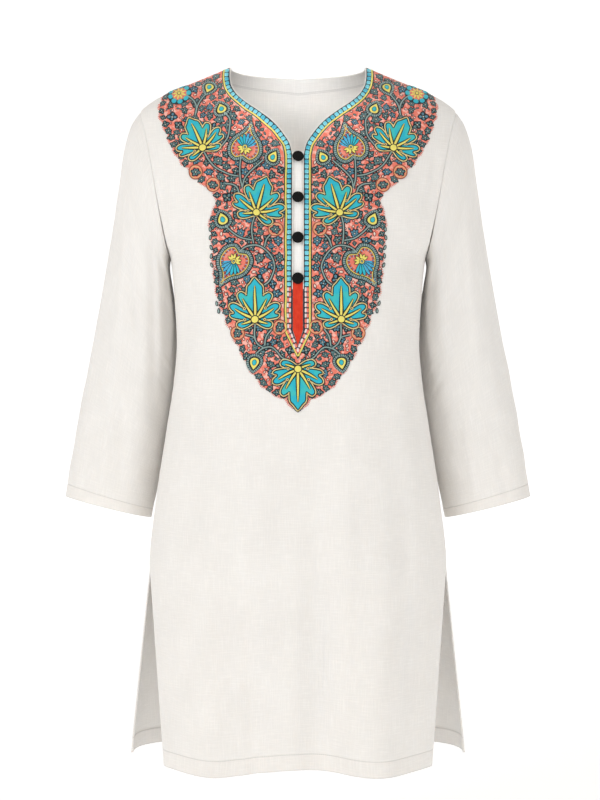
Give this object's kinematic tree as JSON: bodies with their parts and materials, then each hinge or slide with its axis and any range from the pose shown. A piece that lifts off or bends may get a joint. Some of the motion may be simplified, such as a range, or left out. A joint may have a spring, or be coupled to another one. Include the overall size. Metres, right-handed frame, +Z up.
{
  "type": "kurta tunic",
  "caption": "Off-white kurta tunic in its worn shape, with an embroidered yoke, a beaded border round a notched neck, a buttoned front opening, forearm-length sleeves and side slits.",
  "frame": {"origin": "where the wearer's shoulders hold the garment: midway between its two neck points, level with them", "axes": "+Z up, along the garment's length; -Y the way the front faces, +Y the back; +X the wearer's left"},
  "size_m": [0.588, 0.3159, 0.8691],
  "materials": {
    "cloth": "matt plain-woven linen and cotton, off-white",
    "embroidery": "dense thread embroidery on a coral ground",
    "border": "stitched turquoise squares between yellow cords",
    "red_cloth": "matt orange-red cloth",
    "button": "black cloth-covered dome"
  },
  "bodies": {
    "root": {"front": "cloth", "back": "cloth", "sleeve_left": "cloth", "sleeve_right": "cloth", "back_neck_facing": "cloth", "neck_border": "border", "embroidered_yoke": "embroidery", "placket_tab": "red_cloth", "button_placket": "cloth", "button_1": "button", "button_2": "button", "button_3": "button", "button_4": "button"}
  },
  "joints": []
}
